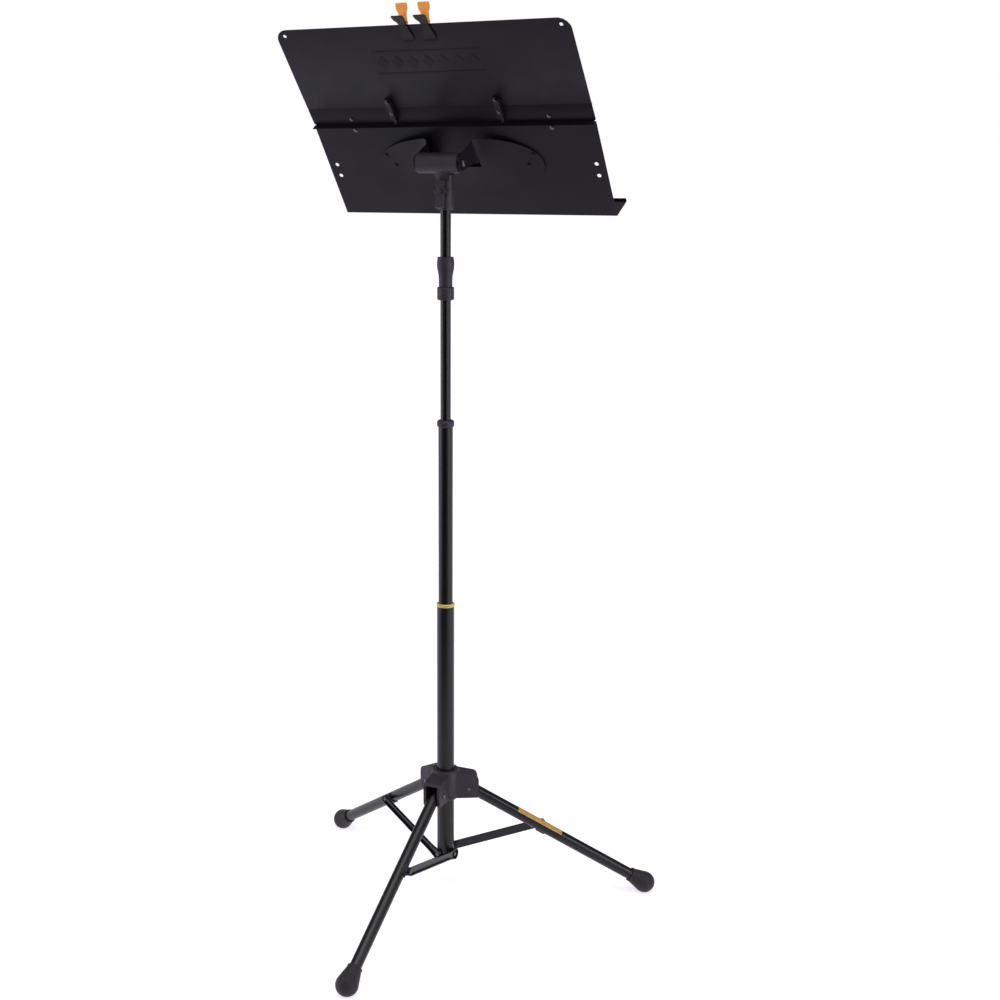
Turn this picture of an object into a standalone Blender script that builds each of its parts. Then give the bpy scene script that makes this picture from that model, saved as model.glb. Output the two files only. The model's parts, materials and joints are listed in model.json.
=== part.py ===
"""Music stand: folding tripod, three-section mast with a squeeze grip, and a tilting desk
that folds in half. The mast is upright, the reader stands on the -Y side, +Z is up, and the
origin is on the floor under the middle of the stand's box."""

import math

import bmesh
import bpy
from mathutils import Matrix, Vector

# Clearances
GAP = 0.0003
RUNNING_GAP = 0.0004
DETAIL_STEPS = 16
TUBE_STEPS = 32

# Mast: tube sizes and heights above the floor
LOWER_TUBE_RADIUS = 0.01435
LOWER_TUBE_WALL = 0.0013
LOWER_TUBE_BOTTOM = 0.0800
LOWER_TUBE_TOP = 0.5220
RING_HEIGHT = 0.0052
RING_PROUD = 0.0008
MIDDLE_TUBE_RADIUS = 0.01175
MIDDLE_TUBE_WALL = 0.0011
MIDDLE_TUBE_BOTTOM = 0.3850
MIDDLE_TUBE_TOP = 0.8200
COLLAR_HEIGHT = 0.0115
COLLAR_RADIUS = 0.01385
UPPER_TUBE_RADIUS = 0.0083
UPPER_TUBE_WALL = 0.0010
UPPER_TUBE_BOTTOM = 0.6400
UPPER_TUBE_TOP = 1.2050
BUSHING_DEPTH = 0.0450
GUIDE_HEIGHT = 0.0140

# Squeeze grip on the upper tube
GRIP_BOTTOM = 1.0226
GRIP_BLOCK_HEIGHT = 0.0203
GRIP_BLOCK_RADIUS = 0.0134
GRIP_LEVER_HEIGHT = 0.0460
GRIP_LEVER_WALL = 0.0016
GRIP_LEVER_SPREAD = math.radians(150)
GRIP_HEADING = math.radians(120)

# Tripod linkage
LEG_AZIMUTHS = (90, 210, 330)
LEG_REACH = 0.3451
LEG_RADIUS = 0.0096
LEG_WALL = 0.0010
LEG_PIVOT_RADIUS = 0.0380
LEG_PIVOT_HEIGHT = 0.2050
LEG_TOP_OVERHANG = 0.0090
LEG_TO_STRUT = 0.1510
STRUT_PIVOT_HEIGHT = 0.0857
STRUT_WIDTH = 0.0130
STRUT_DEPTH = 0.0050
STRUT_EYE_RADIUS = 0.0092
STRUT_WALL = 0.0015
FOOT_BALL_RADIUS = 0.0180
FOOT_BALL_HEIGHT = 0.0172
BOOT_LENGTH = 0.0300
BOOT_WALL = 0.0020
SADDLE_LENGTH = 0.0160
SADDLE_WALL = 0.0015
SADDLE_WRAP = 0.0030
SADDLE_TOP = 0.0070
PIN_RADIUS = 0.0028
PIN_HEAD_RADIUS = 0.0042

# Hub
HUB_RING_RADIUS = 0.0240
HUB_RING_BELOW = 0.0170
HUB_RING_ABOVE = 0.0330
HUB_ARM_REACH = 0.0550
HUB_CHEEK = 0.0045
HUB_WEB_ABOVE = 0.0190

# Neck
NECK_BOTTOM = 1.1620
NECK_RADIUS = 0.0125
NECK_CAP = 0.0110
TILT_AXIS_BACK = 0.0220
TILT_AXIS_HEIGHT = 1.2330
BARREL_RADIUS = 0.0155
BARREL_HALF = 0.0346
BOLT_RADIUS = 0.0030
BOLT_PAST_NUT = 0.0010
NUT_RADIUS = 0.0058
NUT_HEIGHT = 0.0040
NECK_LEVER_HEIGHT = 1.1920
NECK_LEVER_BACK = 0.0190

# Desk
DESK_TILT = math.radians(36.6)
FOLD_BEND = math.radians(4.1)
DESK_WIDTH = 0.4800
LOWER_PANEL_HEIGHT = 0.1754
UPPER_PANEL_HEIGHT = 0.1798
SHEET = 0.0010
PANEL_FROM_TILT_AXIS = 0.0634
TILT_AXIS_UP_PANEL = 0.1482
LEDGE_DEPTH = 0.0380
LEDGE_OVERHANG = 0.0045
LIP_HEIGHT = 0.0060
FLANGE_DEPTH = 0.0090
PANEL_CORNER_RADIUS = 0.0200
CORNER_HOLE_RADIUS = 0.0028
SIDE_HOLE_RADIUS = 0.0033
PLATE_HALF_WIDTH = 0.1420
PLATE_HALF_HEIGHT = 0.0580
PLATE_CENTRE_UP = 0.1000
PLATE_SHEET = 0.0015
PLATE_DISH = 0.0080
NOTCH_BOTTOM_UP = 0.0980
EAR_SHEET = 0.0020
EAR_TIP_RADIUS = 0.0130
EAR_FILLET = 0.0130
EAR_ROOT_UP = (0.1180, 0.1520)
EAR_ROOT_RISE = 0.0200
PLATE_RIVETS = ((0.1270, 0.1180), (0.1157, 0.0990))
WASHER_SHEET = 0.0014
FOLD_AXIS_FORWARD = 0.0030
HINGE_FROM_CENTRE = 0.1680
HINGE_HALF_LENGTH = 0.0120
CATCH_FROM_CENTRE = 0.0910
CATCH_LENGTH = 0.0440
CATCH_WIDTH = 0.0130
CATCH_SHEET = 0.0020
CLIP_FROM_CENTRE = 0.0180
CLIP_WIDTH = 0.0195
CLIP_SHEET = 0.0012
CLIP_WAIST = 0.0115
CLIP_JAW = 0.0250
CLIP_COIL_RADIUS = 0.0026

# Worked out from the sizes above
MAST_Y = -LEG_REACH / 4
LEG_DROP = LEG_PIVOT_HEIGHT - FOOT_BALL_HEIGHT
LEG_SPAN = LEG_REACH - LEG_PIVOT_RADIUS
LEG_ANGLE = math.atan2(LEG_DROP, LEG_SPAN)
LEG_LENGTH = math.hypot(LEG_DROP, LEG_SPAN)
STRUT_END_RADIUS = LEG_PIVOT_RADIUS + LEG_TO_STRUT * math.cos(LEG_ANGLE)
STRUT_END_HEIGHT = LEG_PIVOT_HEIGHT - LEG_TO_STRUT * math.sin(LEG_ANGLE)
STRUT_RISE = STRUT_END_HEIGHT - STRUT_PIVOT_HEIGHT
STRUT_ANGLE = math.atan2(STRUT_RISE, STRUT_END_RADIUS)
STRUT_LENGTH = math.hypot(STRUT_RISE, STRUT_END_RADIUS)
STRUT_FACE = LOWER_TUBE_RADIUS + RUNNING_GAP
EAR_INNER = BARREL_HALF + WASHER_SHEET + 2 * GAP
EAR_OUTER = EAR_INNER + EAR_SHEET

BLACK_TUBE = ((0.012, 0.011, 0.013), 0.0, 0.32)
BLACK_PLASTIC = ((0.020, 0.019, 0.020), 0.0, 0.60)
BLACK_SHEET = ((0.026, 0.023, 0.028), 0.0, 0.48)
BLACK_RUBBER = ((0.012, 0.012, 0.012), 0.0, 0.80)
STEEL = ((0.45, 0.44, 0.43), 1.0, 0.35)
GOLD_PLASTIC = ((0.50, 0.34, 0.12), 0.0, 0.40)
ORANGE_PLASTIC = ((0.75, 0.30, 0.06), 0.0, 0.45)


def clear_scene():
    for obj in list(bpy.data.objects):
        bpy.data.objects.remove(obj)


def joint_frame(name, location, parent=None, rotation=(0.0, 0.0, 0.0)):
    """An empty on a joint's axis, which carries the pieces that move about it."""
    frame = bpy.data.objects.new(name, None)
    frame.empty_display_size = 0.02
    frame.location = location
    frame.rotation_euler = rotation
    frame.parent = parent
    bpy.context.scene.collection.objects.link(frame)
    return frame


def add_object(name, bm, frame):
    bmesh.ops.recalc_face_normals(bm, faces=bm.faces)
    mesh = bpy.data.meshes.new(name)
    bm.to_mesh(mesh)
    bm.free()
    mesh.shade_smooth()
    mesh.set_sharp_from_angle(angle=math.radians(35))
    obj = bpy.data.objects.new(name, mesh)
    obj.parent = frame
    bpy.context.scene.collection.objects.link(obj)
    return obj


def add_node(name, bm, frame, finish):
    """One sub-part with its own material."""
    obj = add_object(name, bm, frame)
    colour, metallic, roughness = finish
    material = bpy.data.materials.new(name)
    material.use_nodes = True
    shader = material.node_tree.nodes["Principled BSDF"]
    shader.inputs["Base Color"].default_value = (*colour, 1.0)
    shader.inputs["Metallic"].default_value = metallic
    shader.inputs["Roughness"].default_value = roughness
    obj.data.materials.append(material)
    return obj


def combine(obj, tool, operation):
    """Cuts the tool's shape from the object, or adds it. The tool stays as a hidden helper."""
    helper = add_object(f"{obj.name}_tool", tool, obj.parent)
    helper.hide_render = True
    helper.display_type = "WIRE"
    boolean = obj.modifiers.new(operation.title(), "BOOLEAN")
    boolean.operation = operation
    boolean.object = helper


def cut(obj, tool):
    combine(obj, tool, "DIFFERENCE")


def add_to(obj, tool):
    combine(obj, tool, "UNION")


def along(bm, axis):
    """Turns a shape built along Z so that it lies along the named axis."""
    turns = {
        "X": Matrix.Rotation(math.radians(90), 4, "Y"),
        "Y": Matrix.Rotation(math.radians(-90), 4, "X"),
    }
    if axis in turns:
        bmesh.ops.transform(bm, matrix=turns[axis], verts=bm.verts)
    return bm


def moved(bm, x=0.0, y=0.0, z=0.0):
    bmesh.ops.translate(bm, vec=(x, y, z), verts=bm.verts)
    return bm


def turned(profile, steps=TUBE_STEPS):
    """A closed outline of (radius, height) points turned about Z. A zero radius is on the axis."""
    bm = bmesh.new()
    rings = []
    for radius, height in profile:
        if radius < 1e-7:
            rings.append([bm.verts.new((0.0, 0.0, height))] * steps)
            continue
        ring = []
        for step in range(steps):
            angle = math.tau * step / steps
            ring.append(bm.verts.new((radius * math.cos(angle), radius * math.sin(angle), height)))
        rings.append(ring)
    for index, ring in enumerate(rings):
        following = rings[(index + 1) % len(rings)]
        for step in range(steps):
            after = (step + 1) % steps
            corners = [ring[step], ring[after], following[after], following[step]]
            unique = list(dict.fromkeys(corners))
            if len(unique) > 2:
                bm.faces.new(unique)
    return bm


def rod(radius, low, high, axis="Z", steps=DETAIL_STEPS):
    return along(turned([(0.0, low), (radius, low), (radius, high), (0.0, high)], steps), axis)


def tube(outer, inner, low, high, axis="Z", steps=TUBE_STEPS):
    profile = [(inner, low), (outer, low), (outer, high), (inner, high)]
    return along(turned(profile, steps), axis)


def headed_pin(shank, head, low, high, head_height, axis):
    """A pin from low to high whose domed head stands past high."""
    shoulder = high + head_height * 0.5
    top = high + head_height
    profile = [(0.0, low), (shank, low), (shank, high), (head, high), (head, shoulder)]
    profile += [(head * 0.6, top), (0.0, top)]
    return along(turned(profile, DETAIL_STEPS), axis)


def prism(outline, low, high, axis="Z"):
    """A flat outline pushed through from low to high. The outline's two numbers are X and Y for
    axis Z, Y and Z for axis X, and X and Z for axis Y."""
    bm = bmesh.new()
    place = {
        "X": lambda a, b, c: (c, a, b),
        "Y": lambda a, b, c: (a, c, b),
        "Z": lambda a, b, c: (a, b, c),
    }[axis]
    near = [bm.verts.new(place(a, b, low)) for a, b in outline]
    far = [bm.verts.new(place(a, b, high)) for a, b in outline]
    bm.faces.new(near)
    bm.faces.new(far)
    for index in range(len(outline)):
        after = (index + 1) % len(outline)
        bm.faces.new([near[index], near[after], far[after], far[index]])
    return bm


def box(low, high):
    outline = [(low[0], low[1]), (high[0], low[1]), (high[0], high[1]), (low[0], high[1])]
    return prism(outline, low[2], high[2])


def arc(centre, radius, start, end, steps=6):
    """Points along an arc, with angles in degrees."""
    points = []
    for step in range(steps + 1):
        angle = math.radians(start + (end - start) * step / steps)
        points.append((centre[0] + radius * math.cos(angle), centre[1] + radius * math.sin(angle)))
    return points


def slot_outline(length, radius, eye_radius):
    """A bar with round ends, with pivots at the origin and at X = length. The eye round the
    origin is wider than the bar, and tapers into it."""
    taper = 2.2 * eye_radius
    outline = arc((0.0, 0.0), eye_radius, 65, 295, 12) + [(taper, -radius)]
    return outline + arc((length, 0.0), radius, -90, 90, 10) + [(taper, radius)]


def folded_sheet(path, half_widths, sheet):
    """A sheet bent along X. The path is its back face in Y and Z, and its thickness goes to the
    left of the direction in which the path runs. Each path point has its own half width."""
    points = [Vector(point) for point in path]
    offsets = []
    for index, point in enumerate(points):
        before = points[max(index - 1, 0)]
        after = points[min(index + 1, len(points) - 1)]
        arriving = (point - before).normalized() if point != before else (after - point).normalized()
        leaving = (after - point).normalized() if point != after else arriving
        normal = Vector((-arriving.y - leaving.y, arriving.x + leaving.x)).normalized()
        square = Vector((-arriving.y, arriving.x))
        offsets.append(point + normal * (sheet / normal.dot(square)))
    bm = bmesh.new()
    rows = []
    for point, offset, half in zip(points, offsets, half_widths):
        corners = ((-half, point), (half, point), (half, offset), (-half, offset))
        rows.append([bm.verts.new((x, place.x, place.y)) for x, place in corners])
    for row, following in zip(rows, rows[1:]):
        for side in range(4):
            after = (side + 1) % 4
            bm.faces.new([row[side], row[after], following[after], following[side]])
    bm.faces.new(rows[0])
    bm.faces.new(rows[-1])
    return bm


def build_base(stand):
    """The lower tube, which everything else hangs on, with its plug, ring and strut studs."""
    bore = LOWER_TUBE_RADIUS - LOWER_TUBE_WALL
    shape = tube(LOWER_TUBE_RADIUS, bore, LOWER_TUBE_BOTTOM, LOWER_TUBE_TOP)
    add_node("lower_tube", shape, stand, BLACK_TUBE)

    flange = LOWER_TUBE_BOTTOM - GAP
    spigot = bore - GAP
    profile = [(0.0, flange - 0.004), (LOWER_TUBE_RADIUS - 0.0015, flange - 0.004)]
    profile += [(LOWER_TUBE_RADIUS, flange - 0.0025), (LOWER_TUBE_RADIUS, flange)]
    profile += [(spigot, flange), (spigot, flange + 0.014), (0.0, flange + 0.014)]
    add_node("lower_tube_plug", turned(profile), stand, BLACK_PLASTIC)

    seat = LOWER_TUBE_TOP + GAP
    guide = MIDDLE_TUBE_RADIUS + RUNNING_GAP
    rim = LOWER_TUBE_RADIUS + RING_PROUD
    profile = [(guide, seat - BUSHING_DEPTH), (spigot, seat - BUSHING_DEPTH), (spigot, seat)]
    profile += [(rim, seat), (rim, seat + RING_HEIGHT - 0.001)]
    profile += [(rim - 0.001, seat + RING_HEIGHT), (guide, seat + RING_HEIGHT)]
    add_node("lower_tube_ring", turned(profile), stand, GOLD_PLASTIC)

    for number, azimuth in enumerate(LEG_AZIMUTHS, 1):
        place = (0.0, 0.0, STRUT_PIVOT_HEIGHT)
        frame = joint_frame(f"stud_frame_{number}", place, stand, (0, 0, math.radians(azimuth)))
        inner = LOWER_TUBE_RADIUS + GAP
        outer = STRUT_FACE + STRUT_WALL + GAP
        shape = headed_pin(PIN_RADIUS, PIN_HEAD_RADIUS, inner, outer, 0.0022, "Y")
        add_node(f"strut_stud_{number}", shape, frame, STEEL)


def build_hub(stand):
    """The collar that slides on the lower tube and carries the three legs."""
    hub_frame = joint_frame("hub_frame", (0.0, 0.0, LEG_PIVOT_HEIGHT), stand)
    bore = LOWER_TUBE_RADIUS + RUNNING_GAP
    edge = 0.0025
    profile = [(bore, -HUB_RING_BELOW), (HUB_RING_RADIUS - edge, -HUB_RING_BELOW)]
    profile += [(HUB_RING_RADIUS, edge - HUB_RING_BELOW)]
    profile += [(HUB_RING_RADIUS, HUB_RING_ABOVE - 2 * edge)]
    profile += [(HUB_RING_RADIUS - edge, HUB_RING_ABOVE), (bore, HUB_RING_ABOVE)]
    hub = add_node("hub", turned(profile), hub_frame, BLACK_PLASTIC)

    slot_half = LEG_RADIUS + 0.0005
    cheek_half = slot_half + HUB_CHEEK
    start = bore + 0.004
    reach = HUB_ARM_REACH
    for number, azimuth in enumerate(LEG_AZIMUTHS, 1):
        turn = Matrix.Rotation(math.radians(azimuth), 4, "Z")
        side = [(start, -HUB_RING_BELOW + 0.001), (reach - 0.006, -HUB_RING_BELOW + 0.001)]
        side += arc((reach - 0.006, -0.011), 0.006, -90, 0, 3)[1:]
        side += arc((reach - 0.010, 0.014), 0.010, 0, 75, 4)
        side += [(start, HUB_RING_ABOVE - 0.003)]
        arm = prism(side, -cheek_half, cheek_half, "Y")
        bmesh.ops.transform(arm, matrix=turn, verts=arm.verts)
        add_to(hub, arm)
    for number, azimuth in enumerate(LEG_AZIMUTHS, 1):
        turn = Matrix.Rotation(math.radians(azimuth), 4, "Z")
        low = (HUB_RING_RADIUS, -slot_half, -HUB_RING_BELOW - 0.010)
        high = (reach + 0.010, slot_half, HUB_WEB_ABOVE)
        slot = box(low, high)
        bmesh.ops.transform(slot, matrix=turn, verts=slot.verts)
        cut(hub, slot)
        hole = moved(rod(PIN_RADIUS + GAP, -0.03, 0.03, "Y"), x=LEG_PIVOT_RADIUS)
        bmesh.ops.transform(hole, matrix=turn, verts=hole.verts)
        cut(hub, hole)
        place = (0.0, 0.0, 0.0)
        frame = joint_frame(f"pin_frame_{number}", place, hub_frame, (0, 0, math.radians(azimuth)))
        shape = headed_pin(PIN_RADIUS, PIN_HEAD_RADIUS, -cheek_half - 0.001, cheek_half + GAP, 0.002, "Y")
        add_node(f"leg_pin_{number}", moved(shape, x=LEG_PIVOT_RADIUS), frame, STEEL)
    return hub_frame


def build_leg(hub_frame, number, azimuth):
    """One leg along its own X, with its rubber boot and the saddle that its strut joins."""
    heading = math.radians(azimuth)
    place = (LEG_PIVOT_RADIUS * math.cos(heading), LEG_PIVOT_RADIUS * math.sin(heading), 0.0)
    frame = joint_frame(f"leg_frame_{number}", place, hub_frame, (0.0, LEG_ANGLE, heading))

    boot_depth = 0.004
    shape = tube(LEG_RADIUS, LEG_RADIUS - LEG_WALL, -LEG_TOP_OVERHANG, LEG_LENGTH - boot_depth, "X")
    leg = add_node(f"leg_{number}", shape, frame, BLACK_TUBE)
    cut(leg, rod(PIN_RADIUS + GAP, -0.02, 0.02, "Y"))

    bore = LEG_RADIUS + GAP
    sleeve = bore + BOOT_WALL
    top = LEG_LENGTH - BOOT_LENGTH
    sleeve_angle = math.atan2(sleeve, -BOOT_LENGTH)
    tangent_angle = sleeve_angle - math.acos(FOOT_BALL_RADIUS / math.hypot(sleeve, BOOT_LENGTH))
    profile = [(bore, LEG_LENGTH - boot_depth + GAP), (bore, top), (sleeve - 0.0006, top)]
    profile += [(sleeve, top + 0.0008)]
    ball = arc((LEG_LENGTH, 0.0), FOOT_BALL_RADIUS, math.degrees(tangent_angle), 0, 12)
    profile += [(across, down) for down, across in ball]
    profile += [(0.0, LEG_LENGTH - boot_depth + GAP)]
    boot = add_node(f"foot_boot_{number}", along(turned(profile), "X"), frame, BLACK_RUBBER)
    floor = box((-0.05, -0.05, -0.06), (0.05, 0.05, -FOOT_BALL_HEIGHT))
    level = Matrix.Translation((LEG_LENGTH, 0, 0)) @ Matrix.Rotation(-LEG_ANGLE, 4, "Y")
    bmesh.ops.transform(floor, matrix=level, verts=floor.verts)
    cut(boot, floor)

    half = SADDLE_LENGTH / 2
    shape = tube(bore + SADDLE_WALL, bore, LEG_TO_STRUT - half, LEG_TO_STRUT + half, "X")
    saddle = add_node(f"leg_saddle_{number}", shape, frame, BLACK_PLASTIC)
    reach = bore + SADDLE_WALL + 0.001
    ends = (LEG_TO_STRUT - SADDLE_LENGTH, LEG_TO_STRUT + SADDLE_LENGTH)
    cut(saddle, box((ends[0], -reach, -reach), (ends[1], -SADDLE_WRAP, reach)))
    cut(saddle, box((ends[0], -reach, SADDLE_TOP), (ends[1], reach, reach)))
    boss = rod(0.0070, bore + SADDLE_WALL * 0.4, STRUT_FACE - RUNNING_GAP, "Y")
    add_to(saddle, moved(boss, x=LEG_TO_STRUT))


def build_strut(stand, number, azimuth):
    """One pressed channel beside its leg, from the tube's stud to the leg's saddle."""
    heading = math.radians(azimuth)
    place = (0.0, 0.0, STRUT_PIVOT_HEIGHT)
    frame = joint_frame(f"strut_frame_{number}", place, stand, (0.0, -STRUT_ANGLE, heading))
    half = STRUT_WIDTH / 2
    low = STRUT_FACE
    high = STRUT_FACE + STRUT_DEPTH
    outline = slot_outline(STRUT_LENGTH, half, STRUT_EYE_RADIUS)
    strut = add_node(f"strut_{number}", prism(outline, low, high, "Y"), frame, BLACK_TUBE)
    pocket = slot_outline(STRUT_LENGTH, half - STRUT_WALL, STRUT_EYE_RADIUS - STRUT_WALL)
    cut(strut, prism(pocket, low + STRUT_WALL, high + 0.002, "Y"))
    cut(strut, rod(PIN_RADIUS + GAP, low - 0.002, high + 0.002, "Y"))
    cut(strut, moved(rod(PIN_RADIUS + GAP, low - 0.002, high + 0.002, "Y"), x=STRUT_LENGTH))
    shape = headed_pin(PIN_RADIUS, PIN_HEAD_RADIUS, low, low + STRUT_WALL + GAP, 0.0022, "Y")
    add_node(f"strut_rivet_{number}", moved(shape, x=STRUT_LENGTH), frame, STEEL)


def build_middle(stand):
    """The middle tube with the collar that guides the upper tube."""
    frame = joint_frame("middle_frame", (0.0, 0.0, LOWER_TUBE_TOP), stand)
    base = -LOWER_TUBE_TOP
    bottom = base + MIDDLE_TUBE_BOTTOM
    top = base + MIDDLE_TUBE_TOP
    bore = MIDDLE_TUBE_RADIUS - MIDDLE_TUBE_WALL
    add_node("middle_tube", tube(MIDDLE_TUBE_RADIUS, bore, bottom, top), frame, BLACK_TUBE)

    spigot = bore - GAP
    guide = UPPER_TUBE_RADIUS + RUNNING_GAP
    seat = top + GAP
    crown = seat + COLLAR_HEIGHT
    profile = [(guide, seat - BUSHING_DEPTH), (spigot, seat - BUSHING_DEPTH), (spigot, seat)]
    profile += [(COLLAR_RADIUS - 0.0012, seat), (COLLAR_RADIUS, seat + 0.0025)]
    profile += [(COLLAR_RADIUS, crown - 0.0030), (COLLAR_RADIUS - 0.0012, crown - 0.0010)]
    profile += [(COLLAR_RADIUS - 0.0032, crown), (guide, crown)]
    add_node("middle_collar", turned(profile), frame, BLACK_PLASTIC)

    outer = LOWER_TUBE_RADIUS - LOWER_TUBE_WALL - RUNNING_GAP
    add_node("middle_guide", end_guide(outer, spigot, bottom), frame, BLACK_PLASTIC)
    return frame


def end_guide(outer, spigot, tube_end):
    """The plastic guide on a sliding tube's lower end."""
    flange = tube_end - GAP
    profile = [(spigot - 0.002, flange - GUIDE_HEIGHT), (outer - 0.001, flange - GUIDE_HEIGHT)]
    profile += [(outer, flange - GUIDE_HEIGHT + 0.001), (outer, flange), (spigot, flange)]
    profile += [(spigot, flange + 0.015), (spigot - 0.002, flange + 0.015)]
    return turned(profile)


def build_upper(middle_frame):
    """The upper tube with the squeeze grip's block."""
    place = (0.0, 0.0, MIDDLE_TUBE_TOP - LOWER_TUBE_TOP)
    frame = joint_frame("upper_frame", place, middle_frame)
    base = -MIDDLE_TUBE_TOP
    bottom = base + UPPER_TUBE_BOTTOM
    bore = UPPER_TUBE_RADIUS - UPPER_TUBE_WALL
    shape = tube(UPPER_TUBE_RADIUS, bore, bottom, base + UPPER_TUBE_TOP)
    add_node("upper_tube", shape, frame, BLACK_TUBE)
    outer = MIDDLE_TUBE_RADIUS - MIDDLE_TUBE_WALL - RUNNING_GAP
    add_node("upper_guide", end_guide(outer, bore - GAP, bottom), frame, BLACK_PLASTIC)

    hole = UPPER_TUBE_RADIUS + GAP
    low = base + GRIP_BOTTOM
    high = low + GRIP_BLOCK_HEIGHT
    edge = 0.0012
    profile = [(hole, low), (GRIP_BLOCK_RADIUS - edge, low), (GRIP_BLOCK_RADIUS, low + edge)]
    profile += [(GRIP_BLOCK_RADIUS, high - edge), (GRIP_BLOCK_RADIUS - edge, high), (hole, high)]
    add_node("grip_block", turned(profile), frame, BLACK_PLASTIC)
    return frame


def build_grip_lever(upper_frame, name, heading):
    """One half shell of the squeeze grip, hinged at its foot on the block."""
    foot_height = GRIP_BOTTOM + GRIP_BLOCK_HEIGHT + 2 * GAP - MIDDLE_TUBE_TOP
    hinge_radius = GRIP_BLOCK_RADIUS - 0.0032
    place = (hinge_radius * math.cos(heading), hinge_radius * math.sin(heading), foot_height)
    frame = joint_frame(f"{name}_frame", place, upper_frame, (0.0, 0.0, heading))
    rise = GRIP_LEVER_HEIGHT
    swell = ((0.00, 0.0110), (0.18, 0.0110), (0.33, 0.0112), (0.46, 0.0121), (0.60, 0.0135))
    swell += ((0.73, 0.0140), (0.86, 0.0137), (1.00, 0.0128))
    bm = bmesh.new()
    columns = []
    steps = 10
    for step in range(steps + 1):
        angle = GRIP_LEVER_SPREAD * (step / steps - 0.5)
        ring = []
        for share, radius in swell:
            ring.append((radius, share * rise))
        for share, radius in reversed(swell):
            ring.append((radius - GRIP_LEVER_WALL, share * rise))
        column = []
        for radius, height in ring:
            across = radius * math.cos(angle) - hinge_radius
            column.append(bm.verts.new((across, radius * math.sin(angle), height)))
        columns.append(column)
    count = len(columns[0])
    for column, following in zip(columns, columns[1:]):
        for index in range(count):
            after = (index + 1) % count
            bm.faces.new([column[index], column[after], following[after], following[index]])
    for column in (columns[0], columns[-1]):
        for index in range(len(swell) - 1):
            mirror = count - 1 - index
            bm.faces.new([column[index], column[index + 1], column[mirror - 1], column[mirror]])
    add_node(name, bm, frame, BLACK_PLASTIC)


def build_neck(upper_frame):
    """The casting that turns on the upper tube and carries the tilt barrel, with its lever."""
    frame = joint_frame("neck_frame", (0.0, 0.0, NECK_BOTTOM - MIDDLE_TUBE_TOP), upper_frame)
    top = UPPER_TUBE_TOP - NECK_BOTTOM
    axis_height = TILT_AXIS_HEIGHT - NECK_BOTTOM
    bore = UPPER_TUBE_RADIUS + RUNNING_GAP
    edge = 0.0012
    profile = [(bore, 0.0), (NECK_RADIUS - edge, 0.0), (NECK_RADIUS, edge)]
    profile += [(NECK_RADIUS, top + NECK_CAP - edge), (NECK_RADIUS - edge, top + NECK_CAP)]
    profile += [(0.0, top + NECK_CAP), (0.0, top + GAP), (bore, top + GAP)]
    neck = add_node("neck", turned(profile), frame, BLACK_PLASTIC)

    barrel = rod(BARREL_RADIUS, -BARREL_HALF, BARREL_HALF, "X", TUBE_STEPS)
    add_to(neck, moved(barrel, y=TILT_AXIS_BACK, z=axis_height))
    crest = top + NECK_CAP - 0.0010
    rim = BARREL_RADIUS - 0.0020
    side = [(0.0015 - NECK_RADIUS, top + 2 * GAP), (0.0015 - NECK_RADIUS, crest)]
    side += [(TILT_AXIS_BACK - rim, axis_height + 0.0060), (TILT_AXIS_BACK, axis_height)]
    side += [(TILT_AXIS_BACK + rim, axis_height - 0.0040)]
    side += [(NECK_RADIUS + 0.0010, top + 0.0035), (NECK_RADIUS - 0.0020, top + 2 * GAP)]
    add_to(neck, prism(side, -0.0100, 0.0100, "X"))
    hole = rod(BOLT_RADIUS + RUNNING_GAP, -BARREL_HALF - 0.01, BARREL_HALF + 0.01, "X")
    cut(neck, moved(hole, y=TILT_AXIS_BACK, z=axis_height))

    lever_height = NECK_LEVER_HEIGHT - NECK_BOTTOM
    lug_face = 0.0070
    for side_sign in (-1, 1):
        inner = side_sign * (lug_face + RUNNING_GAP)
        outer = inner + side_sign * 0.0022
        lug = [(0.0070, lever_height - 0.0045), (NECK_LEVER_BACK, lever_height - 0.0045)]
        lug += arc((NECK_LEVER_BACK, lever_height), 0.0045, -90, 90, 6)[1:]
        lug += [(0.0070, lever_height + 0.0045)]
        add_to(neck, prism(lug, min(inner, outer), max(inner, outer), "X"))
    pin = rod(0.0018 + GAP, -0.02, 0.02, "X")
    cut(neck, moved(pin, y=NECK_LEVER_BACK, z=lever_height))
    half = lug_face + RUNNING_GAP + 0.0022 + 0.001
    shape = rod(0.0018, -half, half, "X")
    shape = moved(shape, y=NECK_LEVER_BACK, z=lever_height)
    add_node("neck_lever_pin", shape, frame, STEEL)

    lever_frame = joint_frame("neck_lever_frame", (0.0, NECK_LEVER_BACK, lever_height), frame)
    side = [(-0.0022, -0.004), (0.0010, -0.026), (0.0028, -0.0275), (0.0052, -0.026)]
    side += [(0.0042, -0.004), (0.0034, 0.006), (0.0008, 0.0150), (-0.0016, 0.0150), (-0.0026, 0.0045)]
    lever = add_node("neck_lever", prism(side, -lug_face, lug_face, "X"), lever_frame, BLACK_PLASTIC)
    cut(lever, rod(0.0018 + GAP, -0.02, 0.02, "X"))
    add_to(lever, moved(rod(0.0040, 0.0030, 0.0062, "Y"), z=-0.0015))
    return frame


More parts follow.
